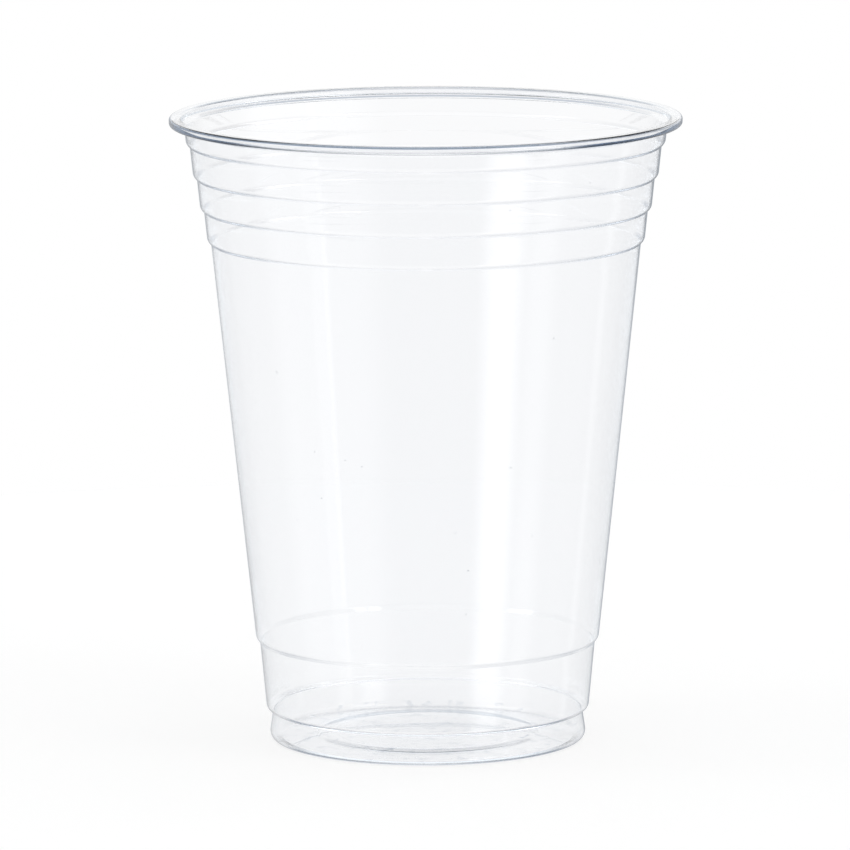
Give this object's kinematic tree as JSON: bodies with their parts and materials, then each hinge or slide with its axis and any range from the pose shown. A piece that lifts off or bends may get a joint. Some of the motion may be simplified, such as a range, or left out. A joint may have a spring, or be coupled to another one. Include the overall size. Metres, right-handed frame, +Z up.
{
  "type": "plastic disposable cup",
  "caption": "Clear disposable cold-drink cup with a turned-under rim, stacking rings below it, a tapered wall and a flared foot with a raised floor.",
  "frame": {"origin": "centre of the contact ring under the foot, on the surface the cup stands on", "axes": "+Z up along the cup's axis, from the foot to the rim; the cup is round, so X and Y are any two directions across it"},
  "size_m": [0.098, 0.098, 0.1205],
  "materials": {
    "clear_plastic": "clear, glossy"
  },
  "bodies": {
    "root": {"cup": "clear_plastic"}
  },
  "joints": []
}
